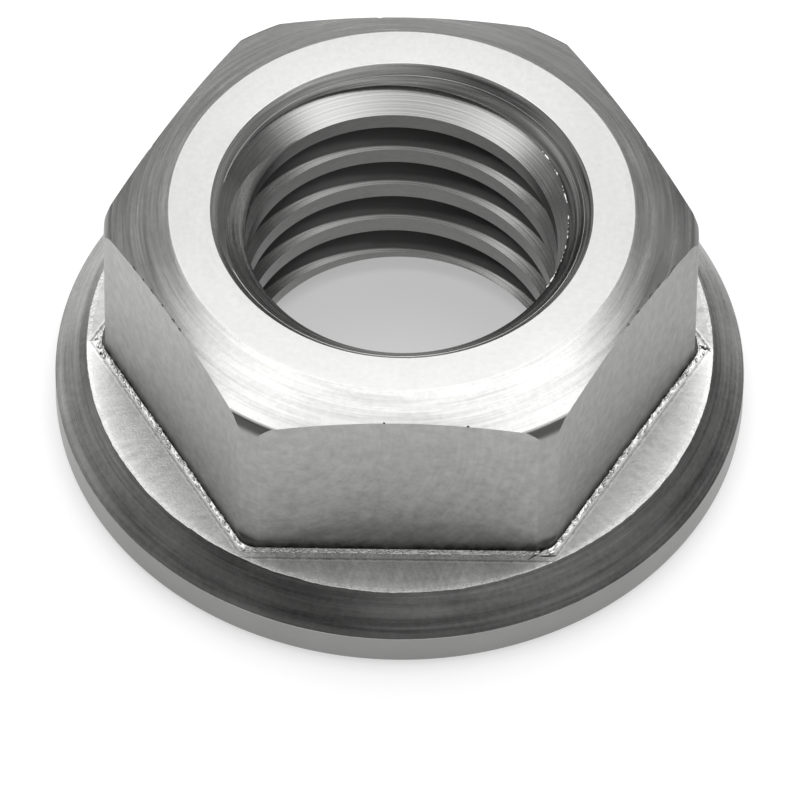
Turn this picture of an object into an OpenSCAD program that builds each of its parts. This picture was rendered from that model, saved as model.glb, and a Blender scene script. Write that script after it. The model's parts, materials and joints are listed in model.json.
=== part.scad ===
// Hexagon flange nut, turned from bar and then milled, all one piece.
// It stands on its bearing face: the origin is the centre of that face, and the thread runs along +Z.
// Two of the six flats face -Y and +Y, and two of the six corners lie on -X and +X.

/* [Thread] */
// Nominal diameter of the thread
thread_d = 12; // [10:0.5:13]
// Pitch of the thread
thread_pitch = 1.75; // [1:0.25:2.5]
// Depth of the mouth in the top face
top_mouth_h = 1.12; // [0.4:0.02:1.4]
// Depth of the mouth in the bearing face
base_mouth_h = 0.86; // [0.4:0.02:1.4]
// Slope of both mouths, from the bore's axis
mouth_angle = 45; // [30:1:50]

/* [Hexagon] */
// Width across the flats
across_flats = 17; // [16.5:0.1:18.5]
// Height from the bearing face to the top face
nut_h = 9.4; // [8:0.1:14]
// Diameter that the corners are turned to
corner_d = 19.22; // [18.8:0.02:19.6]
// Diameter of the flat ring that is the top face
top_face_d = 15; // [14.2:0.1:16]
// Slope of the top chamfer, down from the top face
top_chamfer_angle = 24; // [10:1:35]
// Width of the second, steeper chamfer at the corners
corner_break = 0.19; // [0.05:0.01:0.4]
// Slope of the second chamfer, down from the top face
corner_break_angle = 50; // [40:5:70]

/* [Flange] */
// Diameter of the flange
flange_d = 22.5; // [21.5:0.1:26]
// Height of the flange's upright rim
rim_h = 1.3; // [0.8:0.1:2]
// Slope of the flange's upper side, down towards the rim
flange_slope = 48; // [40:1:55]
// Radius that the edge of the bearing face is rounded to
rim_round = 0.35; // [0.05:0.05:0.6]

/* [Milling] */
// Height of the floor that the cutter leaves round the hexagon
floor_h = 2.45; // [2.2:0.05:3]
// Radius of the cutter's tip, left as a fillet at the foot of each flat
root_r = 0.3; // [0.1:0.05:0.6]

/* [Hidden] */
$fn = 96;
FLATS = 6;

// A sharp 60 degree thread is sqrt(3)/2 of a pitch deep, and the bore takes 5/8 of that on each side
thread_engagement = 5 / 8;
minor_r = thread_d / 2 - thread_engagement * thread_pitch * sqrt(3) / 2;

// How far a cutter reaches past what it cuts
clear = 2;

flat_r = across_flats / 2;
corner_r = corner_d / 2;
flange_r = flange_d / 2;
top_face_r = top_face_d / 2;

// The top chamfer ends where the second chamfer starts, at the corners only
break_r = corner_r - corner_break;
break_top_z = nut_h - (break_r - top_face_r) * tan(top_chamfer_angle);
break_foot_z = break_top_z - corner_break * tan(corner_break_angle);

// The flange's slope runs up and in, as turned, until it meets the turned corners
slope_top_z = rim_h + (flange_r - corner_r) * tan(flange_slope);

// Solid outline of the turned blank, from the axis out to the rim
module blank_outline() {
    polygon([
        [0, 0],
        [flange_r - rim_round, 0],
        [flange_r - rim_round, rim_round],
        [flange_r, rim_round],
        [flange_r, rim_h],
        [corner_r, slope_top_z],
        [corner_r, break_foot_z],
        [break_r, break_top_z],
        [top_face_r, nut_h],
        [0, nut_h]
    ]);
    intersection() {
        translate([flange_r - rim_round, rim_round]) circle(r = rim_round);
        translate([flange_r - rim_round, 0]) square([rim_round, rim_round]);
    }
}

// Outline of the tapped hole: its wall at the thread's minor diameter, and a mouth at each end
module bore_outline() {
    polygon([
        [0, -clear],
        [minor_r + (base_mouth_h + clear) * tan(mouth_angle), -clear],
        [minor_r, base_mouth_h],
        [minor_r, nut_h - top_mouth_h],
        [minor_r + (top_mouth_h + clear) * tan(mouth_angle), nut_h + clear],
        [0, nut_h + clear]
    ]);
}

// What the lathe leaves: a body of revolution with its bore
module turned_blank() {
    rotate_extrude() difference() {
        blank_outline();
        bore_outline();
    }
}

// Section of the milling cut beside one flat, with the cutter's tip radius at its inner foot
module cut_outline() {
    reach = flange_r - flat_r + clear;
    height = nut_h - floor_h + clear;
    translate([flat_r, floor_h]) {
        translate([0, root_r]) square([reach, height - root_r]);
        translate([root_r, 0]) square([reach - root_r, height]);
        translate([root_r, root_r]) circle(r = root_r);
    }
}

// One straight pass of the cutter, along the flat that faces +X
module flat_cut() {
    length = 2 * (flange_r + clear);
    translate([0, length / 2, 0]) rotate([90, 0, 0]) linear_extrude(length) cut_outline();
}

// The nut: six passes round the blank leave the hexagon on its milled floor
module flange_nut() {
    color([0.66, 0.66, 0.65]) difference() {
        turned_blank();
        for (i = [0 : FLATS - 1]) rotate([0, 0, (i + 0.5) * 360 / FLATS]) flat_cut();
    }
}

flange_nut();
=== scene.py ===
"""Dresses the flange nut: its turned and milled body, its thread, its finishes, the light and the camera.

Lengths are in millimetres up to the moment a mesh is made, and in metres from there on.
"""

import json
import logging
import math
from contextlib import contextmanager
from dataclasses import dataclass, field
from enum import IntEnum
from typing import Any, Callable, ClassVar, Iterator, Sequence

import bmesh
import bpy
import numpy as np
from mathutils import Matrix, Vector, noise


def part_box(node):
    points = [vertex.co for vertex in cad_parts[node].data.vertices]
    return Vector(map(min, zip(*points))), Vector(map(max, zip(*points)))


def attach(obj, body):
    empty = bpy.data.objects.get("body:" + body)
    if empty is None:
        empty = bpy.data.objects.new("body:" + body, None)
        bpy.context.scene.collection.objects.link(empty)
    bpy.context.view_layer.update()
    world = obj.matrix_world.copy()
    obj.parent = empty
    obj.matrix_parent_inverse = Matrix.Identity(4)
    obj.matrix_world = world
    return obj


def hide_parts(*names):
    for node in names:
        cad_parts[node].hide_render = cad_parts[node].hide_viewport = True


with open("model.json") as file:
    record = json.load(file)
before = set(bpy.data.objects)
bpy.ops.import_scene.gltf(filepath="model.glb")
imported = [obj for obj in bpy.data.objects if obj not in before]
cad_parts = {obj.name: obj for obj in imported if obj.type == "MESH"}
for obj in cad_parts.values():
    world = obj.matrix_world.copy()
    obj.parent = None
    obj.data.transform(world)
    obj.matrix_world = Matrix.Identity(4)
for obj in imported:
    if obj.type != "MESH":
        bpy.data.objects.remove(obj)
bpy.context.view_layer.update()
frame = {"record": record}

LOG = logging.getLogger("flange_nut")

Pair = tuple[float, float]
Triple = tuple[float, float, float]

MM = 0.001
NODE = "flange_nut"

# Lengths and turns past which the rounding of a corner would divide by nothing
TINY = 1e-9
SHARPEST_TURN = -0.999
# Share of a side that the rounding of the corner at its end may take
ARC_REACH = 0.45
# Brightest tone that tool marks reach, as a multiple of a finish's shade
TONE_TOP = 1.6


def add_object(name: str, data: bpy.types.ID) -> bpy.types.Object:
    """Makes an object and links it to the scene."""
    item = bpy.data.objects.new(name, data)
    bpy.context.scene.collection.objects.link(item)
    return item


def evaluated_mesh(piece: bpy.types.Object) -> bpy.types.Mesh:
    """Gives what a piece's modifiers make of it, as a plain mesh of its own."""
    bpy.context.view_layer.update()
    graph = bpy.context.evaluated_depsgraph_get()
    return bpy.data.meshes.new_from_object(piece.evaluated_get(graph))


@contextmanager
def edited(mesh: bpy.types.Mesh) -> Iterator[bmesh.types.BMesh]:
    """Opens a closed mesh for editing, then reports it and writes it back."""
    shape = bmesh.new()
    shape.from_mesh(mesh)
    yield shape
    open_edges = sum(not edge.is_manifold for edge in shape.edges)
    LOG.info("%s: %d points, %d faces, %d open edges, %.1f mm3", mesh.name, len(shape.verts), len(shape.faces),
             open_edges, shape.calc_volume(signed=True) / MM**3)
    shape.to_mesh(mesh)
    shape.free()


class Zone(IntEnum):
    """The nut's surfaces, in the order of its material slots."""

    BEARING = 0
    RIM = 1
    CONE = 2
    FLOOR = 3
    FOOT = 4
    FLAT = 5
    CORNER = 6
    CHAMFER = 7
    TOP = 8
    MOUTH = 9
    LAND = 10
    THREAD = 11
    BREAK = 12
    NICK = 13


@dataclass(frozen=True)
class NutSizes:
    """Sizes of the nut in millimetres. The first six come from the frame, the rest are the turner's and miller's."""

    height: float
    flange_r: float
    flat_r: float
    minor_r: float
    base_mouth_h: float
    top_mouth_h: float
    rim_h: float = 1.3
    rim_round: float = 0.35
    cone_deg: float = 48.0
    floor_h: float = 2.45
    foot_w: float = 0.30
    burr_w: float = 0.15
    """Width of the torn strip's raised part, beside the wall."""
    foot_h: Pair = (0.042, 0.066)
    """Height of that part at the wall, at the side flats and at the front and back ones."""
    foot_corner_r: float = 0.74
    """Radius of the edge where two flats meet below the turned corner."""
    corner_r: float = 9.61
    corner_drop: float = 0.3
    """How far the turned corner runs down past the flange's cone."""
    break_profile: tuple[Pair, ...] = (
        (0.26, 24.0), (0.21, 24.0), (0.185, 34.0), (0.16, 50.0),
        (0.13, 58.0), (0.05, 60.0), (0.02, 68.0), (0.0, 80.0),
    )
    """Steeper chamfer at the corners: distance in from the corner, and the slope that leads there."""
    top_face_r: float = 7.5
    mouth_line_r: float = 5.88
    """Where a fine step runs round the upper mouth."""
    mouth_line_w: float = 0.01

    @classmethod
    def from_frame(cls) -> "NutSizes":
        """Reads the nut's box and its mounts.

        Returns:
            The sizes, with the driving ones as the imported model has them.
        """
        low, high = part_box(NODE)
        mounts = {mount["name"]: mount for mount in frame["record"]["mounts"]}
        wall = mounts["thread"]
        middle, half = wall["pos_m"][2] / MM, wall["dims"]["length_mm"] / 2
        height = (high.z - low.z) / MM
        return cls(
            height=height,
            flange_r=(high.x - low.x) / MM / 2,
            flat_r=mounts["wrench_flat_back"]["pos_m"][1] / MM,
            minor_r=wall["dims"]["r_mm"],
            base_mouth_h=middle - half,
            top_mouth_h=height - middle - half,
        )

    def cone_z(self, r: np.ndarray) -> np.ndarray:
        """Height of the flange's turned cone at a radius."""
        return self.rim_h + (self.flange_r - r) * math.tan(math.radians(self.cone_deg))

    def cone_r(self, z: np.ndarray) -> np.ndarray:
        """Radius of the flange's turned cone at a height."""
        return self.flange_r - (z - self.rim_h) / math.tan(math.radians(self.cone_deg))

    def chamfer_z(self, r: np.ndarray) -> np.ndarray:
        """Height of the top chamfer, and of the steeper one outside it, at a radius."""
        radii, heights = [self.top_face_r], [self.height]
        for inset, slope in self.break_profile:
            radii.append(self.corner_r - inset)
            heights.append(heights[-1] - (radii[-1] - radii[-2]) * math.tan(math.radians(slope)))
        return np.interp(r, radii, heights)


@dataclass(frozen=True)
class ThreadSizes:
    """Sizes of the thread's groove in millimetres."""

    pitch: float = 1.75
    depth: float = 0.905
    land_w: float = 0.612
    flank_deg: float = 30.0
    land_top_below_face: float = 1.317
    """How far the top edge of the highest full land lies below the top face, on the +Y side."""
    inside: float = 0.3
    """How far the groove's cutter reaches inside the bore."""
    steps: int = 300
    """Steps in one turn."""
    spare_turns: float = 3.0
    """Turns that the cutter has more than fit in the nut's height."""
    turns_past: float = 1.75
    """Turns of the cutter above the top edge of the highest full land."""


@dataclass
class Station:
    """One corner of the nut's section, given for every column round the nut at once."""

    r: np.ndarray
    z: np.ndarray
    zone: Zone
    rows: int = 1
    radius: float = 0.0
    arc: int = 0


@dataclass
class NutBody:
    """The turned and milled body with its bore, as one ring-shaped grid of sections."""

    sizes: NutSizes
    flats: int = 6
    flat_steps: int = 64
    edge_steps: int = 8
    corner_steps: int = 9
    edge_span_deg: float = 0.6
    edge_soft: float = 0.05
    """How far the edge between a flat and a turned corner is rounded off."""
    edge_r: float = 0.03
    """Radius that a plain edge is broken to."""
    rim_edge_r: float = 0.06
    top_edge_r: float = 0.12
    wobble: float = 0.018
    """How far the floor's outer edge strays from its circle."""
    wobble_parts: tuple[Triple, ...] = ((12.0, 1.0, 0.0), (50.0, 0.6, 5.0))
    """Fineness, weight, and height in the noise, of each part of that."""
    least_floor_w: float = 0.04
    least_strip_w: float = 0.01
    """Least width of the torn strip outside its raised part."""
    facing_sin: float = 0.75
    """Sine of a flat's direction from which it is a front or a back one."""
    corner_slack: float = 0.001
    corner_foot: float = 0.1
    """Height above the floor from which a corner has the turned finish."""
    merge: float = 0.0002
    """Points nearer than this are one point."""

    def corner_at(self) -> float:
        """Gives the angle from the middle of a flat to the start of the turned corner, in radians."""
        return math.acos(self.sizes.flat_r / self.sizes.corner_r)

    def half_angles(self) -> np.ndarray:
        """Gives the angles of the columns from the middle of a flat to the corner, in radians."""
        start, end = (math.degrees(self.corner_at()) + side * self.edge_span_deg for side in (-1, 1))
        return np.radians(np.concatenate((
            np.linspace(0, start, self.flat_steps, endpoint=False),
            np.linspace(start, end, self.edge_steps, endpoint=False),
            np.linspace(end, 180.0 / self.flats, self.corner_steps),
        )))

    def columns(self) -> tuple[np.ndarray, np.ndarray]:
        """Gives every column's angle round the nut and its angle from the middle of its own flat."""
        half = self.half_angles()
        local = np.concatenate((-half[:0:-1], half))[:-1]
        middles = (np.arange(self.flats) + 0.5) * 2 * math.pi / self.flats
        around = (middles[:, None] + local[None, :]).ravel()
        return around, np.tile(local, self.flats)

    def outline_r(self, local: np.ndarray) -> np.ndarray:
        """Radius of the hexagon's outline, with its corners rounded, at angles from the middle of a flat."""
        size = self.sizes
        half = math.pi / self.flats
        centre_r = (size.flat_r - size.foot_corner_r) / math.cos(half)
        tangent_at = math.atan((size.flat_r - size.foot_corner_r) * math.tan(half) / size.flat_r)
        off = half - np.abs(local)
        rounded = centre_r * np.cos(off) + np.sqrt(
            np.maximum(size.foot_corner_r**2 - (centre_r * np.sin(off)) ** 2, 0.0))
        return np.where(np.abs(local) < tangent_at, size.flat_r / np.cos(local), rounded)

    def edge_wander(self, around: np.ndarray) -> np.ndarray:
        """Gives how far the floor's outer edge strays at angles round the nut."""
        return self.wobble * np.array([
            sum(weight * noise.noise((fine * math.cos(a), fine * math.sin(a), level))
                for fine, weight, level in self.wobble_parts)
            for a in around
        ])

    def stations(self, around: np.ndarray, local: np.ndarray) -> list[Station]:
        """Lists the section's corners, from the bore's lower mouth outwards, up and back down the bore.

        Args:
            around: Each column's angle round the nut.
            local: Each column's angle from the middle of its own flat.

        Returns:
            The corners in order; the last is followed by the first.
        """
        size = self.sizes
        same = np.ones_like(local)
        plane_r = self.outline_r(local)
        gap = np.abs(plane_r - size.corner_r)
        soft = np.maximum(self.edge_soft - gap, 0) ** 2 / self.edge_soft / 4
        wall_r = np.minimum(plane_r, size.corner_r) - soft
        wall_z = size.cone_z(size.corner_r) - size.corner_drop
        flare_z = size.cone_z(np.maximum(plane_r, size.corner_r)) - size.corner_drop
        clipped = [np.minimum(wall_r, size.corner_r - inset) for inset, _ in reversed(size.break_profile)]
        floor_r = size.cone_r(size.floor_h) + self.edge_wander(around)
        foot_r = np.minimum((size.flat_r + size.foot_w) / np.cos(local), floor_r - self.least_floor_w)
        burr_r = np.minimum(plane_r + size.burr_w, foot_r - self.least_strip_w)
        facing = np.abs(np.sin(around - local)) > self.facing_sin
        burr_z = size.floor_h + np.where(facing, size.foot_h[1], size.foot_h[0])
        base_r = size.minor_r + size.base_mouth_h
        mouth_r = size.minor_r + size.top_mouth_h
        line_r = size.mouth_line_r
        line_z = size.height - (mouth_r - line_r - size.mouth_line_w)
        corners = [
            (base_r, 0, Zone.BEARING, 1, self.edge_r, 1),
            (size.flange_r, 0, Zone.RIM, 2, size.rim_round, 6),
            (size.flange_r, size.rim_h, Zone.CONE, 2, self.rim_edge_r, 3),
            (floor_r, size.cone_z(floor_r), Zone.FLOOR, 3, self.edge_r, 3),
            (foot_r, size.floor_h, Zone.FOOT),
            (burr_r, size.floor_h, Zone.FOOT),
            (plane_r, burr_z, Zone.FLAT, 2, self.edge_r, 2),
            (np.maximum(plane_r, wall_r), flare_z, Zone.CORNER),
            (wall_r, wall_z, Zone.FLAT, 4),
            *((r, size.chamfer_z(r), Zone.BREAK) for r in clipped[:-1]),
            (clipped[-1], size.chamfer_z(clipped[-1]), Zone.CHAMFER),
            (size.top_face_r, size.height, Zone.TOP, 1, self.top_edge_r, 2),
            (mouth_r, size.height, Zone.MOUTH, 1, self.edge_r, 3),
            (line_r + size.mouth_line_w, line_z, Zone.MOUTH),
            (line_r, line_z, Zone.MOUTH),
            (size.minor_r, size.height - size.top_mouth_h, Zone.LAND),
            (size.minor_r, size.base_mouth_h, Zone.MOUTH, 2),
        ]
        return [Station(r * same, z * same, *rest) for r, z, *rest in corners]

    @staticmethod
    def rounded(before: Station, at: Station, after: Station) -> list[np.ndarray]:
        """Rounds one corner of the section off to a circular arc.

        Args:
            before: The corner before it.
            at: The corner itself.
            after: The corner after it.

        Returns:
            The arc's points as (r, z) columns, or the corner alone where it stays sharp.
        """
        corner = np.stack((at.r, at.z))
        if at.arc == 0:
            return [corner]
        come = corner - np.stack((before.r, before.z))
        go = np.stack((after.r, after.z)) - corner
        come_len, go_len = (np.maximum(np.hypot(*v), TINY) for v in (come, go))
        come, go = come / come_len, go / go_len
        turn = np.clip((come * go).sum(0), SHARPEST_TURN, 1.0)
        reach = at.radius * np.sqrt((1 - turn) / (1 + turn))
        reach = np.minimum(reach, ARC_REACH * np.minimum(come_len, go_len))
        weight = np.sqrt((1 + turn) / 2)
        start, end = corner - come * reach, corner + go * reach
        points = []
        for t in np.linspace(0, 1, at.arc + 1):
            shares = ((1 - t) ** 2, 2 * t * (1 - t) * weight, t**2)
            total = sum(shares)
            points.append((start * shares[0] + corner * shares[1] + end * shares[2]) / total)
        return points

    def rows(self, around: np.ndarray, local: np.ndarray) -> tuple[list[np.ndarray], list[Zone]]:
        """Gives the grid's rows and the zone of the strip that follows each row."""
        stations = self.stations(around, local)
        count = len(stations)
        arcs = [self.rounded(stations[i - 1], stations[i], stations[(i + 1) % count]) for i in range(count)]
        rows: list[np.ndarray] = []
        zones: list[Zone] = []
        for i, station in enumerate(stations):
            rows += arcs[i]
            zones += [station.zone] * len(arcs[i])
            start, end = arcs[i][-1], arcs[(i + 1) % count][0]
            inner = [start + (end - start) * k / station.rows for k in range(1, station.rows)]
            rows += inner
            zones += [station.zone] * len(inner)
        return rows, zones

    def build(self) -> bpy.types.Mesh:
        """Makes the body's mesh, closed, in metres, with one material index for each zone."""
        around, local = self.columns()
        rows, zones = self.rows(around, local)
        grid = np.stack([np.stack((row[0] * np.cos(around), row[0] * np.sin(around), row[1]), 1) for row in rows])
        high, wide = grid.shape[:2]
        corner_at = self.corner_at() - self.corner_slack
        corner_z = self.sizes.floor_h + self.corner_foot
        faces, marks = [], []
        for i in range(high):
            for j in range(wide):
                k, m = (i + 1) % high, (j + 1) % wide
                faces.append((i * wide + j, i * wide + m, k * wide + m, k * wide + j))
                turned = zones[i] == Zone.FLAT and min(abs(local[j]), abs(local[m])) > corner_at
                marks.append(int(Zone.CORNER if turned and rows[i][1][j] > corner_z else zones[i]))
        mesh = bpy.data.meshes.new("nut_body")
        mesh.from_pydata((grid.reshape(-1, 3) * MM).tolist(), [], faces)
        mesh.polygons.foreach_set("material_index", marks)
        with edited(mesh) as shape:
            bmesh.ops.remove_doubles(shape, verts=shape.verts, dist=self.merge * MM)
            bmesh.ops.recalc_face_normals(shape, faces=shape.faces)
        return mesh


def binary(operation: str, swapped: bool = False) -> Callable[["Signal", Any], "Signal"]:
    """Makes one of the operators of a signal.

    Args:
        operation: The Math node's operation.
        swapped: Whether the signal stands to the right of the operator.

    Returns:
        The method.
    """
    def method(self: "Signal", other: Any) -> "Signal":
        """Adds one Math node for the signal and the other value."""
        return self.graph.math(operation, *((other, self) if swapped else (self, other)))

    return method


@dataclass(frozen=True)
class Signal:
    """One value in a graph, on which Python's operators add Math nodes."""

    graph: "Graph"
    socket: bpy.types.NodeSocket

    __add__, __radd__ = binary("ADD"), binary("ADD", True)
    __sub__, __rsub__ = binary("SUBTRACT"), binary("SUBTRACT", True)
    __mul__, __rmul__ = binary("MULTIPLY"), binary("MULTIPLY", True)
    __truediv__ = binary("DIVIDE")

    def __abs__(self) -> "Signal":
        """Drops the sign."""
        return self.graph.math("ABSOLUTE", self)

    def wave(self, period: float, phase: float) -> "Signal":
        """Gives a sine of the value."""
        return self.graph.math("SINE", self * (2 * math.pi / period) + phase)

    def limit(self, low: float = 0.0, high: float = 1.0) -> "Signal":
        """Holds the value between two bounds."""
        return self.graph.math("MINIMUM", self.graph.math("MAXIMUM", self, low), high)

    def step(self, low: float, high: float) -> "Signal":
        """Rises smoothly from 0 at one value to 1 at another."""
        node = self.graph.node("ShaderNodeMapRange", {"interpolation_type": "SMOOTHSTEP"}, Value=self, From_Min=low,
                               From_Max=high)
        return Signal(self.graph, node.outputs[0])


class Graph:
    """A node tree that is built by calls and by Python expressions on its signals."""

    def __init__(self, tree: bpy.types.NodeTree) -> None:
        """Takes an existing tree and empties it."""
        self.tree = tree
        tree.nodes.clear()

    def node(self, kind: str, settings: dict[str, Any] | None = None, **sockets: Any) -> bpy.types.Node:
        """Adds one node.

        Args:
            kind: The node's type.
            settings: Its own settings, set before its sockets.
            **sockets: Values or signals by the socket's name, with _ for a space, or in0, in1 by place.

        Returns:
            The node.
        """
        node = self.tree.nodes.new(kind)
        for key, value in (settings or {}).items():
            setattr(node, key, value)
        for key, value in sockets.items():
            by_place = key.startswith("in") and key[2:].isdigit()
            socket = node.inputs[int(key[2:]) if by_place else key.replace("_", " ")]
            source = value.socket if isinstance(value, Signal) else value
            if isinstance(source, bpy.types.NodeSocket):
                self.tree.links.new(source, socket)
            else:
                socket.default_value = source
        return node

    def math(self, operation: str, *values: Any) -> Signal:
        """Adds one Math node and gives its result."""
        sockets = {f"in{index}": value for index, value in enumerate(values)}
        return Signal(self, self.node("ShaderNodeMath", {"operation": operation}, **sockets).outputs[0])

    def vector(self, x: Any, y: Any, z: Any) -> bpy.types.NodeSocket:
        """Joins three values to a vector."""
        return self.node("ShaderNodeCombineXYZ", X=x, Y=y, Z=z).outputs[0]

    def parts(self, vector: bpy.types.NodeSocket) -> list[Signal]:
        """Splits a vector into its three values."""
        return [Signal(self, part) for part in self.node("ShaderNodeSeparateXYZ", Vector=vector).outputs]

    def noise(self, vector: Any, scale: float, detail: float = 2.0, roughness: float = 0.5) -> Signal:
        """Adds a noise texture, stretched so that it spans about -1 to 1."""
        node = self.node("ShaderNodeTexNoise", {"noise_dimensions": "3D"}, Vector=vector, Scale=scale, Detail=detail,
                         Roughness=roughness)
        return (Signal(self, node.outputs["Fac"]) - 0.5) * 3.0

    def blend(self, factor: Any, low: Sequence[float], high: Sequence[float]) -> bpy.types.NodeSocket:
        """Mixes two colours."""
        node = self.node("ShaderNodeMix", {"data_type": "RGBA"}, in0=factor, in6=(*low, 1), in7=(*high, 1))
        return node.outputs[2]


class GeometryTree(Graph):
    """A Geometry Nodes tree with named inputs, which is run once on one carrier object."""

    KINDS = {float: "NodeSocketFloat", int: "NodeSocketInt"}

    def __init__(self, name: str, inputs: dict[str, float | int], start: bpy.types.Mesh | None = None) -> None:
        """Starts the tree.

        Args:
            name: The tree's name.
            inputs: The named inputs with their values.
            start: The mesh that the tree starts from, where it needs one.
        """
        super().__init__(bpy.data.node_groups.new(name, "GeometryNodeTree"))
        self.start = start or bpy.data.meshes.new(name)
        interface = self.tree.interface
        interface.new_socket("Geometry", in_out="INPUT", socket_type="NodeSocketGeometry")
        self.values = {
            interface.new_socket(label, in_out="INPUT", socket_type=self.KINDS[type(value)]).identifier: value
            for label, value in inputs.items()
        }
        interface.new_socket("Geometry", in_out="OUTPUT", socket_type="NodeSocketGeometry")
        source = self.tree.nodes.new("NodeGroupInput")
        self.ask = {label: Signal(self, source.outputs[label]) for label in ("Geometry", *inputs)}

    def random(self, low: float, high: float, seed: Any) -> Signal:
        """Adds one Random Value node and gives its number."""
        node = self.node("FunctionNodeRandomValue", {"data_type": "FLOAT"}, in2=low, in3=high, Seed=seed)
        return Signal(self, node.outputs[1])

    def finish(self, geometry: bpy.types.NodeSocket, material: bpy.types.Material) -> bpy.types.Mesh:
        """Closes the tree with Realize Instances and Set Material, and runs it.

        Args:
            geometry: What the tree has made.
            material: The material that all of it takes.

        Returns:
            The result as a plain mesh.
        """
        real = self.node("GeometryNodeRealizeInstances", Geometry=geometry)
        painted = self.node("GeometryNodeSetMaterial", Geometry=real.outputs[0], Material=material)
        self.node("NodeGroupOutput", in0=painted.outputs[0])
        carrier = add_object(self.tree.name, self.start)
        modifier = carrier.modifiers.new("tree", "NODES")
        modifier.node_group = self.tree
        for identifier, value in self.values.items():
            modifier[identifier] = value
        result = evaluated_mesh(carrier)
        bpy.data.objects.remove(carrier)
        return result


@dataclass
class ThreadGroove:
    """The helical groove that the tap cuts, as the closed body of its cutter."""

    nut: NutSizes
    sizes: ThreadSizes = field(default_factory=ThreadSizes)

    def build(self, material: bpy.types.Material) -> bpy.types.Mesh:
        """Sweeps the groove's section up a helix with Geometry Nodes.

        Args:
            material: The finish of the thread's flanks.

        Returns:
            The cutter's closed mesh, in metres.
        """
        size, nut = self.sizes, self.nut
        turns = math.ceil(nut.height / size.pitch + size.spare_turns)
        tree = GeometryTree("thread_groove", {
            "Pitch": size.pitch * MM,
            "Turns": turns,
            "Steps": size.steps,
            "Minor Radius": nut.minor_r * MM,
            "Depth": size.depth * MM,
            "Inside": size.inside * MM,
            "Land Width": size.land_w * MM,
            "Flank Slope": math.tan(math.radians(size.flank_deg)),
            "Low Land Top": (nut.height - size.land_top_below_face - size.pitch * (turns - size.turns_past)) * MM,
        })
        ask = tree.ask
        half = (ask["Pitch"] - ask["Land Width"]) / 2.0
        half_out = half - ask["Depth"] * ask["Flank Slope"]
        half_in = half + ask["Inside"] * ask["Flank Slope"]
        depth, inside = ask["Depth"], ask["Inside"] * -1.0
        corners = ((inside, half_in * -1.0), (depth, half_out * -1.0), (depth, half_out), (inside, half_in))
        section = tree.node("GeometryNodeCurvePrimitiveQuadrilateral", {"mode": "POINTS"}, **{
            f"Point {number}": tree.vector(radial, up, 0.0) for number, (radial, up) in enumerate(corners, 1)})
        helix = tree.node("GeometryNodeCurveSpiral", Resolution=ask["Steps"], Rotations=ask["Turns"], Reverse=True,
                          Start_Radius=ask["Minor Radius"], End_Radius=ask["Minor Radius"],
                          Height=ask["Pitch"] * ask["Turns"])
        upright = tree.node("GeometryNodeSetCurveNormal", {"mode": "Z_UP"}, Curve=helix.outputs[0])
        swept = tree.node("GeometryNodeCurveToMesh", Curve=upright.outputs[0], Profile_Curve=section.outputs[0],
                          Fill_Caps=True)
        moved = tree.node("GeometryNodeTransform", Geometry=swept.outputs[0],
                          Translation=tree.vector(0.0, 0.0, ask["Low Land Top"] + half))
        return tree.finish(moved.outputs[0], material)


@dataclass
class Burr:
    """A row of bright beads and slivers that a cutter leaves along an edge."""

    nut: NutSizes
    name: str
    size: float
    share: float
    """Share of the places that have a bead."""
    spread: float
    """How far beads stray outwards, as a share of their distance from the nut's axis."""
    spacing: float = 0.05
    width: float = 0.8
    thickness: float = 0.7
    stretch: float = 1.7
    """How much longer a bead is than wide."""
    scale: Pair = (0.3, 1.0)
    """Least and greatest size of a bead against the full one."""
    seed: int = 7

    def length(self) -> float:
        """Gives the length of the edge in millimetres."""
        raise NotImplementedError

    def path(self, tree: GeometryTree) -> bpy.types.NodeSocket:
        """Adds the edge's curve to the tree."""
        raise NotImplementedError

    def build(self, material: bpy.types.Material) -> bpy.types.Mesh:
        """Sets beads of random size along the edge with Geometry Nodes.

        Args:
            material: The beads' finish.

        Returns:
            The beads as one mesh, in metres.
        """
        tree = GeometryTree(self.name, {
            "Places": int(self.length() / self.spacing),
            "Bead Size": self.size * MM,
            "Share": self.share,
            "Spread": self.spread,
            "Seed": self.seed,
        })
        ask = tree.ask
        points = tree.node("GeometryNodeCurveToPoints", {"mode": "COUNT"}, Curve=self.path(tree), Count=ask["Places"])
        stray = tree.random(0.0, 1.0, ask["Seed"] + 2.0) * ask["Spread"]
        position = tree.node("GeometryNodeInputPosition").outputs[0]
        outwards = tree.node("ShaderNodeVectorMath", {"operation": "MULTIPLY"}, in0=position, in1=(1.0, 1.0, 0.0))
        offset = tree.node("ShaderNodeVectorMath", {"operation": "SCALE"}, in0=outwards.outputs[0], Scale=stray)
        strewn = tree.node("GeometryNodeSetPosition", Geometry=points.outputs["Points"], Offset=offset.outputs[0])
        picked = tree.math("LESS_THAN", tree.random(0.0, 1.0, ask["Seed"]), ask["Share"])
        bead = tree.node("GeometryNodeMeshIcoSphere", Radius=ask["Bead Size"], Subdivisions=2)
        long_bead = tree.node("GeometryNodeTransform", Geometry=bead.outputs["Mesh"],
                              Scale=(self.width, self.thickness, self.stretch))
        beads = tree.node("GeometryNodeInstanceOnPoints", Points=strewn.outputs[0], Selection=picked,
                          Instance=long_bead.outputs[0], Rotation=points.outputs["Rotation"],
                          Scale=tree.random(*self.scale, ask["Seed"] + 1.0))
        return tree.finish(beads.outputs[0], material)


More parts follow.
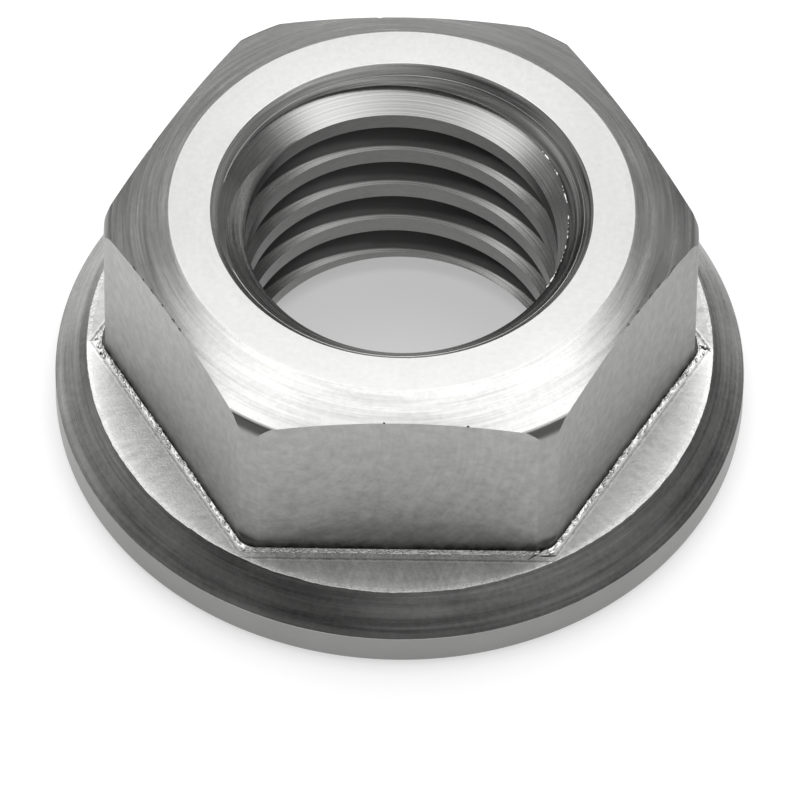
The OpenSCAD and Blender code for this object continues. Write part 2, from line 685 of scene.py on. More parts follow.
@dataclass
class FootBurr(Burr):
    """The beads along the foot of every flat."""

    name: str = "foot_burr"
    size: float = 0.055
    width: float = 0.9
    thickness: float = 0.5
    share: float = 0.6
    spread: float = 0.02
    flats: int = 6

    def corner(self) -> float:
        """Gives the distance from the nut's axis to the hexagon's sharp corner."""
        return self.nut.flat_r / math.cos(math.pi / self.flats)

    def length(self) -> float:
        """Gives the hexagon's perimeter."""
        return self.flats * 2 * self.corner() * math.sin(math.pi / self.flats)

    def path(self, tree: GeometryTree) -> bpy.types.NodeSocket:
        """Adds the hexagon at the height of the strip's raised part."""
        ring = tree.node("GeometryNodeMeshCircle", {"fill_type": "NONE"}, Vertices=self.flats,
                         Radius=self.corner() * MM)
        height = (self.nut.floor_h + self.nut.foot_h[0]) * MM
        lifted = tree.node("GeometryNodeTransform", Geometry=ring.outputs[0], Translation=(0.0, 0.0, height))
        return tree.node("GeometryNodeMeshToCurve", Mesh=lifted.outputs[0]).outputs[0]


@dataclass
class MouthBurr(Burr):
    """The slivers along the feather edge where the groove's upper flank runs out in the top mouth."""

    name: str = "mouth_burr"
    spacing: float = 0.07
    size: float = 0.045
    stretch: float = 2.4
    share: float = 0.5
    spread: float = 0.006
    thread: ThreadSizes = field(default_factory=ThreadSizes)
    start_deg: float = -28.0
    end_deg: float = 34.0
    path_steps: int = 200

    def edge(self, degrees: float) -> Pair:
        """Radius and height of the feather edge at an angle round the nut."""
        nut, thread = self.nut, self.thread
        slope = math.tan(math.radians(thread.flank_deg))
        groove_top = nut.height - thread.land_top_below_face + (thread.pitch - thread.land_w)
        groove_top += thread.pitch * (degrees - 90) / 360
        cone_foot = nut.height - nut.top_mouth_h - nut.minor_r
        radius = (groove_top + slope * nut.minor_r - cone_foot) / (1 + slope)
        return radius, radius + cone_foot

    def length(self) -> float:
        """Gives the edge's length, as that of an arc."""
        return math.radians(self.end_deg - self.start_deg) * self.edge(0)[0]

    def path(self, tree: GeometryTree) -> bpy.types.NodeSocket:
        """Adds the edge as a part of a conical spiral."""
        (first_r, first_z), (last_r, last_z) = self.edge(self.start_deg), self.edge(self.end_deg)
        spiral = tree.node("GeometryNodeCurveSpiral", Resolution=self.path_steps, Reverse=True,
                           Rotations=(self.end_deg - self.start_deg) / 360, Start_Radius=first_r * MM,
                           End_Radius=last_r * MM, Height=(last_z - first_z) * MM)
        turned = tree.node("GeometryNodeTransform", Geometry=spiral.outputs[0],
                           Translation=(0.0, 0.0, first_z * MM), Rotation=(0.0, 0.0, math.radians(self.start_deg)))
        return turned.outputs[0]


@dataclass(frozen=True)
class Nick:
    """One small dent: its middle, its half lengths along, across and up, and its heading round +Z."""

    EDGE_W: ClassVar[float] = 0.045
    EDGE_H: ClassVar[float] = 0.035

    middle: Triple
    reach: Triple
    heading_deg: float

    @classmethod
    def on_edge(cls, nut: NutSizes, flat_deg: float, along: float, half_length: float) -> "Nick":
        """Places a dent on the upper edge of the flat that faces an angle, so far along it."""
        turn = math.radians(flat_deg)
        x = nut.flat_r * math.cos(turn) - along * math.sin(turn)
        y = nut.flat_r * math.sin(turn) + along * math.cos(turn)
        z = float(nut.chamfer_z(np.array(math.hypot(x, y))))
        return cls((x, y, z), (half_length, cls.EDGE_W, cls.EDGE_H), flat_deg + 90)


@dataclass
class Nicks:
    """The dents of handling on the upper edges, and the cutter's pits at the foot's corners."""

    nut: NutSizes
    edge_marks: tuple[Triple, ...] = (
        (-150, -2.45, 0.1), (-150, -1.84, 0.07), (-150, -1.25, 0.12), (-150, -0.54, 0.06), (-150, 0.18, 0.1),
        (-150, 0.59, 0.08), (-30, 2.75, 0.5), (-30, 1.87, 0.12), (-30, 1.35, 0.14), (-30, 0.53, 0.1),
        (-30, -0.09, 0.06), (-90, -0.47, 0.04), (-90, 2.2, 0.05),
        (30, -1.2, 0.1), (90, 0.8, 0.08), (150, 1.6, 0.12),
    )
    """Flat, distance along it and half length of each dent on an upper edge."""
    pits: tuple[tuple[Triple, Triple, float], ...] = (
        ((4.72, -8.42, 0.03), (0.75, 0.05, 0.07), 38.0),
        ((4.86, -8.66, 0.02), (0.28, 0.05, 0.05), 4.0),
        ((-9.72, -0.5, 0.04), (0.09, 0.07, 0.1), 60.0),
        ((9.88, 0.06, 0.02), (0.16, 0.06, 0.07), -40.0),
        ((10.02, 0.02, 0.02), (0.25, 0.03, 0.04), -45.0),
    )
    """Middle of each pit, its height taken from the floor, then its half lengths and its heading."""

    def all(self) -> list[Nick]:
        """Lists every dent."""
        pits = [Nick((x, y, self.nut.floor_h + z), *rest) for (x, y, z), *rest in self.pits]
        return [Nick.on_edge(self.nut, *mark) for mark in self.edge_marks] + pits

    def build(self, material: bpy.types.Material) -> bpy.types.Mesh:
        """Makes one lens-shaped cutter for each dent with Geometry Nodes.

        Args:
            material: The finish inside the dents.

        Returns:
            The cutters as one mesh, in metres.
        """
        nicks = self.all()
        places = bpy.data.meshes.new("nick_places")
        places.from_pydata([[part * MM for part in nick.middle] for nick in nicks], [], [])
        for name, values in (
            ("reach", [[part * MM for part in nick.reach] for nick in nicks]),
            ("heading", [(0.0, 0.0, math.radians(nick.heading_deg)) for nick in nicks]),
        ):
            layer = places.attributes.new(name, "FLOAT_VECTOR", "POINT")
            layer.data.foreach_set("vector", np.array(values).ravel())
        tree = GeometryTree("nicks", {"Roundness": 3}, places)
        lens = tree.node("GeometryNodeMeshIcoSphere", Radius=1.0, Subdivisions=tree.ask["Roundness"])
        reach, heading = (
            tree.node("GeometryNodeInputNamedAttribute", {"data_type": "FLOAT_VECTOR"}, Name=name).outputs[0]
            for name in ("reach", "heading")
        )
        placed = tree.node("GeometryNodeInstanceOnPoints", Points=tree.ask["Geometry"], Instance=lens.outputs["Mesh"],
                           Rotation=heading, Scale=reach)
        return tree.finish(placed.outputs[0], material)


def cut(body: bpy.types.Mesh, cutters: Sequence[bpy.types.Mesh]) -> bpy.types.Mesh:
    """Takes the cutters away from the body.

    Args:
        body: The closed mesh that is cut.
        cutters: Closed meshes, one for each cut.

    Returns:
        What is left, as a new mesh.
    """
    piece = add_object("cut_body", body)
    tools = [add_object(f"cutter_{index}", cutter) for index, cutter in enumerate(cutters)]
    for tool in tools:
        step = piece.modifiers.new(tool.name, "BOOLEAN")
        step.operation = "DIFFERENCE"
        step.solver = "MANIFOLD"
        step.object = tool
        step.material_mode = "TRANSFER"
    result = evaluated_mesh(piece)
    for item in (piece, *tools):
        bpy.data.objects.remove(item)
    return result


def sharpen(mesh: bpy.types.Mesh, crease_deg: float = 22.0, cut_deg: float = 4.0) -> None:
    """Shades a mesh smooth, apart from its edges.

    Args:
        mesh: The mesh.
        crease_deg: The least angle of an edge.
        cut_deg: The least angle where a thread's flank meets another surface.
    """
    mesh.shade_smooth()
    with edited(mesh) as shape:
        for edge in shape.edges:
            zones = {face.material_index for face in edge.link_faces}
            least = cut_deg if len(zones) == 2 and Zone.THREAD in zones else crease_deg
            edge.smooth = edge.calc_face_angle(0.0) < math.radians(least)


@dataclass(frozen=True)
class Place:
    """Where a point of the nut lies, as signals in millimetres."""

    x: Signal
    y: Signal
    z: Signal
    r: Signal
    cos: Signal
    sin: Signal
    point: bpy.types.NodeSocket

    @classmethod
    def on(cls, graph: Graph) -> "Place":
        """Reads a graph's object coordinates."""
        coordinates = graph.node("ShaderNodeTexCoord").outputs["Object"]
        x, y, z = (part * (1 / MM) for part in graph.parts(coordinates))
        r = graph.math("SQRT", x * x + y * y)
        return cls(x, y, z, r, x / r, y / r, graph.vector(x, y, z))


@dataclass(frozen=True)
class Pattern:
    """What a finish adds over a surface: tone and roughness about 0, and height in millimetres."""

    tone: Any = 0.0
    rough: Any = 0.0
    height: Any = 0.0


@dataclass(frozen=True)
class Finish:
    """A bare machined steel surface."""

    name: str
    shade: float = 0.6
    roughness: float = 0.3
    anisotropy: float = 0.0
    turn: float = 0.25
    tint: Triple = (1.0, 1.0, 0.985)
    rough_limits: Pair = (0.05, 0.9)

    def pattern(self, graph: Graph, place: Place) -> Pattern:
        """Gives the tool marks; a plain surface has none."""
        return Pattern()

    def build(self) -> bpy.types.Material:
        """Makes the material.

        Returns:
            A metal whose colour, roughness and relief carry the tool marks.
        """
        material = bpy.data.materials.new(self.name)
        material.use_nodes = True
        graph = Graph(material.node_tree)
        place = Place.on(graph)
        marks = self.pattern(graph, place)
        even = place.z * 0.0
        light = [part * self.shade * TONE_TOP for part in self.tint]
        sockets = {
            "Base Color": graph.blend((even + 1.0 + marks.tone) / TONE_TOP, (0.0, 0.0, 0.0), light),
            "Metallic": 1.0,
            "Roughness": (even + self.roughness + marks.rough).limit(*self.rough_limits),
            "Anisotropic": self.anisotropy,
            "Anisotropic Rotation": self.turn,
        }
        if isinstance(marks.height, Signal):
            bump = graph.node("ShaderNodeBump", Strength=1.0, Distance=1.0, Height=marks.height * MM)
            sockets["Normal"] = bump.outputs[0]
        shader = graph.node("ShaderNodeBsdfPrincipled", **sockets)
        graph.node("ShaderNodeOutputMaterial", Surface=shader.outputs[0])
        return material


@dataclass(frozen=True)
class Turned(Finish):
    """A lathe's fine rings."""

    anisotropy: float = 0.6
    along_r: float = 1.0
    along_z: float = 0.0
    lines: float = 9.0
    """Fine lines in one millimetre of the section."""
    sweep: float = 2.5
    """How often a line changes in one radian."""
    tone_depth: float = 0.08
    rough_depth: float = 0.05
    relief: float = 0.0006
    bands: float = 0.5
    """Weight of the wide rings beside the fine ones."""
    band_lines: float = 0.22
    """How many wide rings there are to one fine one."""
    broad: float = 0.05
    """Share by which the tone drifts over the surface."""
    broad_scale: float = 0.45
    grain: float = 0.03
    grain_scale: float = 5.0
    highlight_r: float = 0.0
    # Radius of a painted highlight line along an edge, where there is one.
    """Radius of a burnished line, where there is one."""
    highlight_w: Pair = (0.015, 0.05)
    """Distances from that line between which it fades."""
    # Tone of that painted highlight line
    bright: float = 0.12
    sheen_front_back: Pair = (0.0, 0.0)
    # Painted sheen: how much brighter the front and the back are than the sides, and the front than the middle.
    """How much brighter the front and the back are than the sides, and the front than the middle."""
    right_shade: float = 0.0
    # How much darker the +X side is: painted shade.
    """How much duller the +X side is."""
    right_cos: Pair = (0.75, 1.0)
    """Cosines of the direction between which that starts and is complete."""
    upward_shade: float = 0.0
    # How much darker it gets in each millimetre upwards, from the middle of the nut: painted shade.
    """How much duller it gets in each millimetre upwards, from the middle of the nut."""
    middle_z: float = 5.0

    def pattern(self, graph: Graph, place: Place) -> Pattern:
        """Draws rings that fade in and out, a slow drift, and where a finish asks for them a painted sheen, painted
        shade and a painted highlight line.

        Args:
            graph: The material's graph.
            place: The point on the nut.

        Returns:
            The rings as tone, roughness and height.
        """
        along = (place.r * self.along_r + place.z * self.along_z) * self.lines
        round_x, round_y = place.cos * self.sweep, place.sin * self.sweep
        fine = graph.noise(graph.vector(round_x, round_y, along), 1.0, 3.0, 0.65)
        bands = graph.noise(graph.vector(round_x, round_y, along * self.band_lines), 1.0) * self.bands
        tone = (fine + bands) * self.tone_depth
        tone = tone + graph.noise(place.point, self.broad_scale, 1.0) * self.broad
        tone = tone + graph.noise(place.point, self.grain_scale, 3.0, 0.7) * self.grain
        # Painted sheen, brighter at the front and the back than at the sides
        tone = tone + place.sin * place.sin * self.sheen_front_back[0] - place.sin * self.sheen_front_back[1]
        # Painted shade on the +X side and towards the top
        tone = tone - place.cos.step(*self.right_cos) * self.right_shade - (place.z - self.middle_z) * self.upward_shade
        # Painted highlight line along an edge
        if self.highlight_r:
            tone = tone + (1 - abs(place.r - self.highlight_r).step(*self.highlight_w)) * self.bright
        return Pattern(tone, (fine + bands) * self.rough_depth, fine * self.relief)


@dataclass(frozen=True)
class Helical(Finish):
    """The tap's marks, which climb with the thread, and painted shade in its root and on its lip behind the axis."""

    anisotropy: float = 0.5
    pitch: float = 1.75
    waves: tuple[tuple[int, float], ...] = ((11, 0.3), (17, 1.9), (29, 4.0))
    """Lines in one pitch, and phase, of each family of lines."""
    lean: float = 0.6
    """How far the lines climb in each millimetre outwards."""
    strength: Pair = (0.198, 0.132)
    """Strength of a line, and how far a slow noise changes it."""
    slow_scale: float = 0.8
    slow_tone: float = 0.06
    slow_rough: float = 0.04
    tone_depth: float = 0.1
    relief: float = 0.0006
    root_r: Pair = (5.14, 5.2)
    # Radii between which painted shade fills the groove behind the axis.
    """Radii between which the groove turns dark behind the axis."""
    root_taper: float = 0.42
    # How much further out the painted shade starts beside the axis.
    """How much further out the dark starts beside the axis."""
    root_shade: float = 0.84
    root_lift: float = 0.7
    # How much of that painted shade is lost in each millimetre outwards.
    """How much of that dark is lost in each millimetre outwards."""
    root_rough: float = 0.2
    lip_shade: float = 0.58
    # How much darker the flank's lip is straight behind the axis: painted shade.
    """How much duller the flank's lip is straight behind the axis."""
    behind_sin: Pair = (0.55, 0.95)
    """Sines of the direction between which that starts and is complete."""
    open_z: Pair = (7.6, 7.9)
    # Heights, taken back along the helix to +Y, between which the uppermost turn gets clear of the painted shade.
    """Heights, taken back along the helix to +Y, between which the uppermost turn gets clear of the dark."""

    def pattern(self, graph: Graph, place: Place) -> Pattern:
        """Draws fine lines along the helix; whole waves to the pitch close on themselves. Adds painted shade in the
        root and on the lip.

        Args:
            graph: The material's graph.
            place: The point on the nut.

        Returns:
            The lines as tone, roughness and height.
        """
        level = place.z + graph.math("ARCTAN2", place.x, place.y) * (self.pitch / (2 * math.pi))
        along = level + place.r * self.lean
        lines = sum(along.wave(self.pitch / count, phase) for count, phase in self.waves)
        slow = graph.noise(place.point, self.slow_scale)
        marks = lines * (self.strength[0] + slow * self.strength[1])
        # Painted shade in the groove's root, left off the uppermost turn
        closed = 1 - level.step(*self.open_z)
        depth = place.r - (1 - place.sin) * self.root_taper
        root = depth.step(*self.root_r) * closed
        dark = root * (self.root_shade - (depth - self.root_r[0]).limit() * self.root_lift)
        # Painted shade on the flank's lip straight behind the axis
        shade_drop = place.sin.step(*self.behind_sin) * closed * self.lip_shade
        tone = (marks * self.tone_depth + slow * self.slow_tone - shade_drop) * (1 - root) - dark
        return Pattern(tone, slow * self.slow_rough + root * self.root_rough, marks * self.relief)


@dataclass(frozen=True)
class Milled(Finish):
    """A flat face with a cutter's arcs."""

    arc_centre: Pair = (-4.2, 7.9)
    """Middle of the arcs on the front flat: along it, and up."""
    arc_shift: float = 6.0
    """How far that middle moves along from the front flat to the ones beside it."""
    arc_sweep: float = 3.0
    """How often an arc changes in one radian."""
    lines: float = 8.0
    tone_depth: float = 0.1
    relief: float = 0.0006
    drift: float = 0.1
    """How fast an arc changes from place to place."""
    mottle: float = 0.1
    mottle_scale: float = 3.0
    mottle_rough: float = 0.03
    foot_z: Pair = (2.45, 3.1)
    # Heights between which the painted shade at the foot of the wall fades out.
    """Heights between which the dark of the foot fades out."""
    foot_shade: float = 0.66
    middle_z: float = 5.6
    light_rise: float = 0.062
    # How much brighter the flat gets in each millimetre upwards: painted light.
    """How much brighter the flat gets in each millimetre upwards."""

    def flat_frame(self, graph: Graph, place: Place) -> tuple[Signal, Signal, Signal]:
        """Finds the flat that a point belongs to.

        Args:
            graph: The material's graph.
            place: The point on the nut.

        Returns:
            The distance along the flat and outwards from the nut's axis, in millimetres, and a number from
            0 to 2 that tells the front flats from the back ones.
        """
        sixth = math.pi / 3
        angle = graph.math("ARCTAN2", place.y, place.x)
        middle = graph.math("FLOOR", angle / sixth) * sixth + sixth / 2
        off = angle - middle
        return place.r * graph.math("SINE", off), place.r * graph.math("COSINE", off), graph.math("SINE", middle) + 1

    def pattern(self, graph: Graph, place: Place) -> Pattern:
        """Draws faint arcs and a mottle, with painted shade at the foot and painted light that grows upwards.

        Args:
            graph: The material's graph.
            place: The point on the nut.

        Returns:
            The arcs as tone, roughness and height.
        """
        along, _, number = self.flat_frame(graph, place)
        dx, dz = along - self.arc_centre[0] - number * self.arc_shift, place.z - self.arc_centre[1]
        radius = graph.math("SQRT", dx * dx + dz * dz)
        turn = graph.math("ARCTAN2", dz, dx)
        arcs = graph.noise(graph.vector(radius * self.lines, turn * self.arc_sweep, place.x * self.drift), 1.0)
        spots = graph.noise(place.point, self.mottle_scale, 3.0, 0.6)
        # Painted shade at the foot of the wall, and painted light that grows upwards
        dark = (1 - place.z.step(*self.foot_z)) * self.foot_shade - (place.z - self.middle_z) * self.light_rise
        tone = arcs * self.tone_depth + spots * self.mottle - dark
        return Pattern(tone, spots * self.mottle_rough, arcs * self.relief)


@dataclass(frozen=True)
class MilledFloor(Milled):
    """The floor beside a flat, with the crossing arcs of a cutter's end."""

    mottle_scale: float = 4.5
    mottle_rough: float = 0.04
    cutter_r: float = 5.0
    path: float = 11.0
    """How far from the nut's axis the cutter's axis runs."""
    bow_limits: Pair = (0.01, 100.0)
    """Least and greatest square of the arcs' bow, which keep its root real."""
    drift: float = 0.15
    lines: float = 6.0
    arc_rough: float = 0.02
    flat_r: float = 8.5
    facing_from: float = 0.75
    """Sine of a flat's direction from which it is a front or a back one."""
    strip_w: Pair = (0.19, 0.34)
    """Width of the torn strip along the wall, at the side flats and at the front and back ones."""
    ragged: Pair = (7.0, 0.025)
    """Fineness and depth of the strip's wavy edge."""
    soft_w: float = 0.02
    """How far that edge is soft to each side."""
    dark_line: Pair = (0.045, 0.01)
    # How far the painted shadow line lies outside the strip, and the half width of its core.
    """How far the dark line lies outside the strip, and the half width of its core."""
    # How far the painted highlight line lies outside the strip, and the half width of its core
    light_line: Pair = (0.12, 0.0)
    line_w: float = 0.05
    """How far from its middle each of the two lines has faded."""
    shadow_tone: Pair = (0.3, 6.0)
    # Tone of the painted shadow line, and how much of the wavy edge takes it back.
    """Tone of the dark line, and how much of the wavy edge takes it back."""
    # Tone of the painted highlight line
    highlight_tone: float = 0.22
    crumbs: Triple = (12.0, 0.35, 0.1)
    """Fineness and depth of the strip's crumbs, and its own tone."""
    raised_w: Pair = (0.11, 0.15)
    """Distances from the wall between which the strip's raised part ends."""
    raised_tone: Pair = (0.4, 0.86)
    # Tone of that part at the side flats, and what it has less at the front and back ones; that loss is painted
    # shade.
    """Tone of that part at the side flats, and what it has less at the front and back ones."""
    raised_rough: float = -0.2
    edge_r: Pair = (10.04, 10.09)
    # Radii between which the painted highlight along the floor's outer edge starts.
    """Radii between which the floor's bright outer edge starts."""
    # Tone of that painted highlight, and how much the grit changes it
    edge_highlight: Pair = (0.1, 0.25)
    grit_scale: float = 14.0
    grit_tone: float = 0.07
    grit_relief: Pair = (0.003, 0.004)
    """Relief of the grit, and what it has more on the strip's raised part."""
    back_shade: float = 0.36
    # How much darker the three back floors are: painted shade.
    """How much duller the three back floors are."""
    back_number: Pair = (1.0, 1.4)
    """Numbers from flat_frame between which that starts and is complete."""
    # How much darker the front floor is: painted shade
    front_shade: float = 0.12
    front_number: Pair = (0.1, 0.3)

    def strip(self, graph: Graph, place: Place, out: Signal, number: Signal) -> tuple[Signal, Signal]:
        """Draws the torn strip beside the wall, with a painted shadow line and a painted highlight line outside it.

        Args:
            graph: The material's graph.
            place: The point on the nut.
            out: Distance outwards from the nut's axis.
            number: The number that flat_frame gives.

        Returns:
            The strip's tone, and how far a point belongs to its raised part.
        """
        facing = abs(number - 1).step(self.facing_from, self.facing_from + 0.1)
        width = self.strip_w[0] + facing * (self.strip_w[1] - self.strip_w[0])
        plan = graph.vector(place.x, place.y, 0.0)
        ragged = graph.noise(plan, self.ragged[0], 1.0) * self.ragged[1]
        off = out - self.flat_r - width + ragged
        inside = 1 - off.step(-self.soft_w, self.soft_w)
        # A painted shadow line and a painted highlight line outside the strip
        dark_line, light_line = (
            1 - abs(off - middle).step(core, self.line_w) for middle, core in (self.dark_line, self.light_line))
        dark = dark_line * (ragged * self.shadow_tone[1] - self.shadow_tone[0])
        crumbs = graph.noise(plan, self.crumbs[0], 2.0, 0.6) * self.crumbs[1] + self.crumbs[2]
        raised = 1 - (out - self.flat_r + ragged).step(*self.raised_w)
        # The raised part is lighter; its loss at the front and back flats is painted shade
        lift = raised * (self.raised_tone[0] - facing * self.raised_tone[1])
        return dark + light_line * self.highlight_tone + inside * crumbs + lift, raised

    def pattern(self, graph: Graph, place: Place) -> Pattern:
        """Draws two families of arcs that cross, a mottle, the torn strip, a painted highlight along the outer edge
        and painted shade on the back floors and the front one.

        Args:
            graph: The material's graph.
            place: The point on the nut.

        Returns:
            The arcs as tone, roughness and height.
        """
        along, out, number = self.flat_frame(graph, place)
        across = out - self.path
        bow = graph.math("SQRT", (self.cutter_r**2 - across * across).limit(*self.bow_limits))
        drift_x, drift_y = place.x * self.drift, place.y * self.drift
        arcs = sum(
            graph.noise(graph.vector((along + bow * side) * self.lines, drift_x, drift_y), 1.0)
            for side in (-1.0, 1.0)
        )
        spots = graph.noise(place.point, self.mottle_scale, 3.0, 0.6)
        grit = graph.noise(place.point, self.grit_scale, 2.0, 0.6)
        strip, raised = self.strip(graph, place, out, number)
        # Painted highlight along the floor's outer edge
        rim_highlight = place.r.step(*self.edge_r) * (self.edge_highlight[0] + grit * self.edge_highlight[1])
        # Painted shade on the three back floors and on the front one
        shade_drop = number.step(*self.back_number) * self.back_shade
        shade_drop = shade_drop + (1 - number.step(*self.front_number)) * self.front_shade
        relief = grit * (self.grit_relief[0] + raised * self.grit_relief[1])
        return Pattern(
            tone=arcs * self.tone_depth + spots * self.mottle + grit * self.grit_tone + strip + rim_highlight - shade_drop,
            rough=spots * self.mottle_rough + arcs * self.arc_rough + raised * self.raised_rough,
            height=(arcs + spots * 1.5) * self.relief + relief,
        )


FLOOR_LOOK = {"shade": 0.82, "roughness": 0.52, "tone_depth": 0.09, "mottle": 0.13, "relief": 0.0014}

# Several finishes below paint light and shade in: a sheen at the front and back, shade on the +X side or towards the
# top, and a highlight line at the top face's edge
FINISHES: dict[Zone, Finish] = {
    Zone.BEARING: Turned("bearing_face", 0.5, 0.3),
    Zone.RIM: Turned("turned_rim", 0.295, 0.34, along_r=0.0, along_z=1.0, tone_depth=0.03, relief=0.0002),
    Zone.CONE: Turned("turned_flange", 0.33, 0.28, lines=11.0, sweep=1.3, tone_depth=0.42, relief=0.001, bands=0.9,
                      broad=0.2, rough_depth=0.03, grain=0.24, right_shade=0.24),
    Zone.FLOOR: MilledFloor("milled_floor", **FLOOR_LOOK),
    Zone.FOOT: MilledFloor("foot_strip", **FLOOR_LOOK),
    Zone.FLAT: Milled("milled_flat", 0.37, 0.42, tone_depth=0.08, mottle=0.24),
    Zone.CORNER: Milled("turned_corner", 0.34, 0.4, tone_depth=0.05, mottle=0.2),
    Zone.CHAMFER: Turned("turned_chamfer", 0.535, 0.26, lines=12.0, sweep=2.2, tone_depth=0.22, relief=0.0002,
                         bands=0.9, rough_depth=0.02, grain=0.11, highlight_r=7.5, right_shade=0.17,
                         sheen_front_back=(0.03, -0.03)),
    Zone.TOP: Turned("turned_top", 0.515, 0.4, 0.8, lines=13.0, sweep=4.0, tone_depth=0.035, relief=0.0003,
                     bands=0.4, broad=0.02, grain=0.09, highlight_r=7.5, sheen_front_back=(0.11, 0.055)),
    Zone.MOUTH: Turned("turned_mouth", 0.58, 0.26, lines=8.0, sweep=0.9, tone_depth=0.8, relief=0.003,
                       right_shade=0.5),
    Zone.LAND: Turned("drilled_land", 0.26, 0.3, along_r=0.0, along_z=1.0, tone_depth=0.14, grain=0.1,
                      upward_shade=0.045),
    Zone.THREAD: Helical("cut_thread", 0.385, 0.22, tone_depth=0.26),
    Zone.BREAK: Turned("turned_break", 0.34, 0.3, tone_depth=0.05),
    # A dark finish inside the dents: painted shade
    Zone.NICK: Finish("nick", 0.2, 0.5),
}
BURR_FINISH = Finish("bright_burr", 0.97, 0.5)


@dataclass(frozen=True)
class View:
    """The camera of the photograph, found from the nut's edges in it."""

    width: float = 800.0
    focal_px: float = 12600.0
    elevation: float = 0.89275
    roll: float = 0.01322
    distance: float = 405.5
    right: float = -0.0559
    up: float = -6.146
    sensor: float = 36.0
    clip: Pair = (0.01, 20.0)

    def build(self, height: float) -> None:
        """Places the camera.

        Args:
            height: The height of the nut's top face, whose centre the camera is set from, in millimetres.
        """
        back = Vector((0, -math.cos(self.elevation), math.sin(self.elevation)))
        level = Vector((1, 0, 0))
        above = back.cross(level)
        right = math.cos(self.roll) * level + math.sin(self.roll) * above
        up = -math.sin(self.roll) * level + math.cos(self.roll) * above
        place = Vector((0, 0, height)) + back * self.distance + right * self.right + up * self.up
        data = bpy.data.cameras.new("camera")
        data.sensor_width = self.sensor
        data.lens = self.sensor * self.focal_px / self.width
        data.clip_start, data.clip_end = self.clip
        camera = add_object("camera", data)
        camera.matrix_world = Matrix.Translation(place * MM) @ Matrix((right, up, back)).transposed().to_4x4()
        bpy.context.scene.camera = camera


@dataclass(frozen=True)
class Softbox:
    """A square-edged studio light that hangs level above the nut."""

    name: str = "overhead"
    centre: Triple = (0.001, 0.083, 0.12)
    size: Pair = (0.167, 0.234)
    radiance: float = 1.9

    def build(self) -> None:
        """Makes the light; its power follows from its brightness and its area."""
        data = bpy.data.lights.new(self.name, "AREA")
        data.shape = "RECTANGLE"
        data.size, data.size_y = self.size
        data.energy = self.radiance * math.pi * self.size[0] * self.size[1]
        lamp = add_object(self.name, data)
        lamp.location = self.centre
        lamp.visible_camera = False


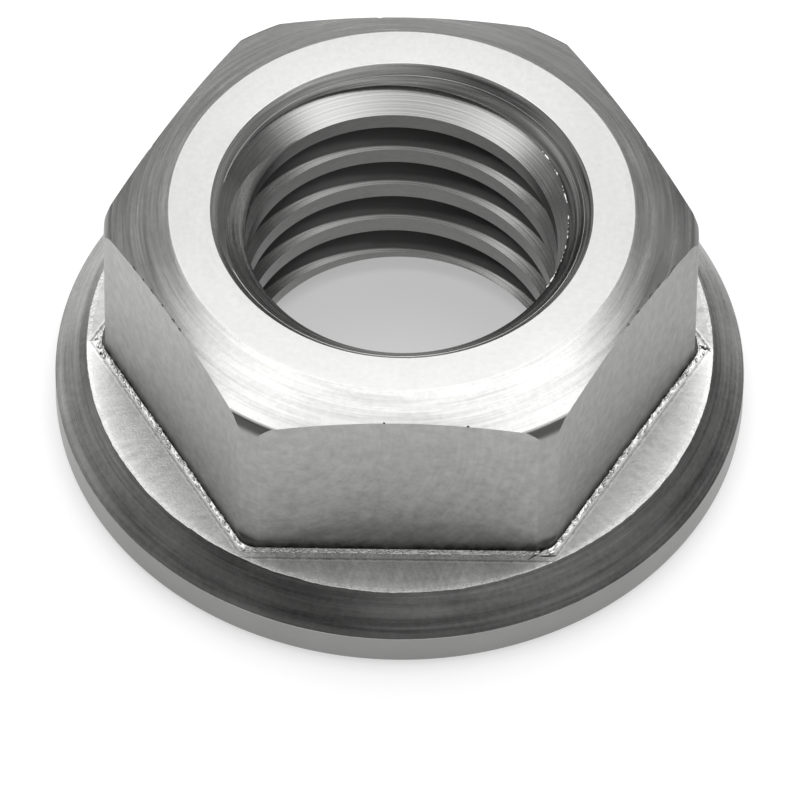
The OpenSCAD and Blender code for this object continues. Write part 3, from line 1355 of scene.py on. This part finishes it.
@dataclass(frozen=True)
class Studio:
    """The table, the light and the surroundings that the metal mirrors."""

    table_half: float = 1.5
    table_albedo: float = 0.5
    table_white: float = 0.71
    """What the camera and the metal see of the table beyond the light that falls on it."""
    table_white_r: Pair = (8.0, 13.0)
    # Distances from the nut's axis between which it rises from the bore's lower white, which is painted shade.
    """Distances from the nut's axis between which it rises from the bore's white."""
    # White of the table under the nut and seen through the bore, lower than outside: painted shade
    bore_shade_level: float = 0.365
    dim: float = 0.1
    front_dim: float = 0.062
    front_high: float = 0.4
    """The front above the camera's height."""
    horizon: float = 0.12
    horizon_back: float = 0.46
    """What the band has more of straight behind the nut."""
    horizon_depth: float = 0.3
    """Sine of the height at which the pale band above the horizon has faded."""
    right_dim: float = 0.33
    """How much dimmer the right side is than the left."""
    beside: float = 0.19
    """What the room has more of straight beside the nut."""
    front_lean: float = 1.45
    """How much more of the front's light comes from its right half."""
    glow_fade_r: Pair = (18.5, 34.0)
    # Where the table's own white fades out, which makes it a painted pool of light round the nut.
    """Where the table's own white fades out."""
    right_shade_x: Pair = (11.5, 17.0)
    # Where half of that white is lost to the right: painted shade on the right side.
    """Where half of that white is lost to the right."""
    behind_y: Pair = (-0.5, 0.3)
    """Directions back between which the room's front passes into its back."""
    straight_y: Pair = (0.6, 0.95)
    beside_x: Pair = (0.3, 0.8)
    beside_z: Pair = (0.4, 0.6)
    front_z: Pair = (0.45, 0.7)
    """Directions up between which the front gets bright."""

    def build_table(self) -> None:
        """Makes the pale table that the nut stands on, with a painted pool of light round the nut."""
        half = self.table_half
        mesh = bpy.data.meshes.new("table")
        mesh.from_pydata([(-half, -half, 0), (half, -half, 0), (half, half, 0), (-half, half, 0)], [], [(0, 1, 2, 3)])
        material = bpy.data.materials.new("table_white")
        material.use_nodes = True
        graph = Graph(material.node_tree)
        place = Place.on(graph)
        matt = graph.node("ShaderNodeBsdfPrincipled", Base_Color=(*[self.table_albedo] * 3, 1), Roughness=0.9,
                          Specular_IOR_Level=0.1)
        rays = graph.node("ShaderNodeLightPath")
        seen = sum(Signal(graph, rays.outputs[f"Is {kind} Ray"]) for kind in ("Camera", "Glossy", "Transmission"))
        outer = place.r.step(*self.table_white_r)
        # The white rises from the lower white in the bore, which is painted shade
        level = self.bore_shade_level + (self.table_white - self.bore_shade_level) * outer
        # The white fades away from the nut, a painted pool of light, and loses half to the right, which is painted
        # shade
        fade = (1 - place.r.step(*self.glow_fade_r)) * (1 - place.x.step(*self.right_shade_x) * 0.5)
        white = graph.node("ShaderNodeEmission", Color=(1, 1, 1, 1), Strength=seen.limit() * level * fade)
        both = graph.node("ShaderNodeAddShader", in0=matt.outputs[0], in1=white.outputs[0])
        graph.node("ShaderNodeOutputMaterial", Surface=both.outputs[0])
        mesh.materials.append(material)
        table = add_object("table", mesh)

    def build_world(self) -> None:
        """Makes the room: dim, darker in front of the nut, and pale along the horizon beside and behind it."""
        world = bpy.data.worlds.new("studio")
        world.use_nodes = True
        graph = Graph(world.node_tree)
        side, back, up = graph.parts(graph.node("ShaderNodeTexCoord").outputs["Generated"])
        behind = back.step(*self.behind_y)
        low = 1 - abs(up).step(0.0, self.horizon_depth)
        front = self.front_dim + (self.front_high - self.front_dim) * up.step(*self.front_z)
        front = front * (1 + side * self.front_lean)
        band = (self.horizon + self.horizon_back * back.step(*self.straight_y)) * behind * low
        beside = abs(side).step(*self.beside_x) * (1 - up.step(*self.beside_z)) * self.beside
        level = (front * (1 - behind) + self.dim * behind + band + beside) * (1 - side * self.right_dim)
        room = graph.node("ShaderNodeBackground", Color=(1, 1, 1, 1), Strength=level)
        graph.node("ShaderNodeOutputWorld", Surface=room.outputs[0])
        bpy.context.scene.world = world

    def build(self) -> None:
        """Sets the table, the light and the room."""
        self.build_table()
        self.build_world()
        Softbox().build()
        bpy.context.scene.view_settings.view_transform = "Standard"


def place_piece(name: str, mesh: bpy.types.Mesh) -> bpy.types.Object:
    """Puts a finished mesh into the scene as a piece of the nut, and reports it."""
    piece = add_object(name, mesh)
    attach(piece, "root")
    mesh.calc_loop_triangles()
    LOG.info("%s: %d triangles", name, len(mesh.loop_triangles))
    return piece


def main() -> None:
    """Builds the nut, its surroundings and the camera, in order."""
    logging.basicConfig(level=logging.INFO, format="%(name)s: %(message)s")
    sizes = NutSizes.from_frame()
    LOG.info("sizes: %s", sizes)
    metals = [FINISHES[zone].build() for zone in Zone]
    burr_metal = BURR_FINISH.build()
    body = NutBody(sizes).build()
    for metal in metals:
        body.materials.append(metal)
    groove = ThreadGroove(sizes).build(metals[Zone.THREAD])
    nicks = Nicks(sizes).build(metals[Zone.NICK])
    solid = cut(body, [groove, nicks])
    sharpen(solid)
    nut = place_piece("nut", solid)
    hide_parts(NODE)
    for burr in (FootBurr(sizes), MouthBurr(sizes)):
        beads = burr.build(burr_metal)
        beads.shade_smooth()
        place_piece(burr.name, beads)
    View().build(sizes.height)
    Studio().build()


if __name__ == "__main__":
    main()
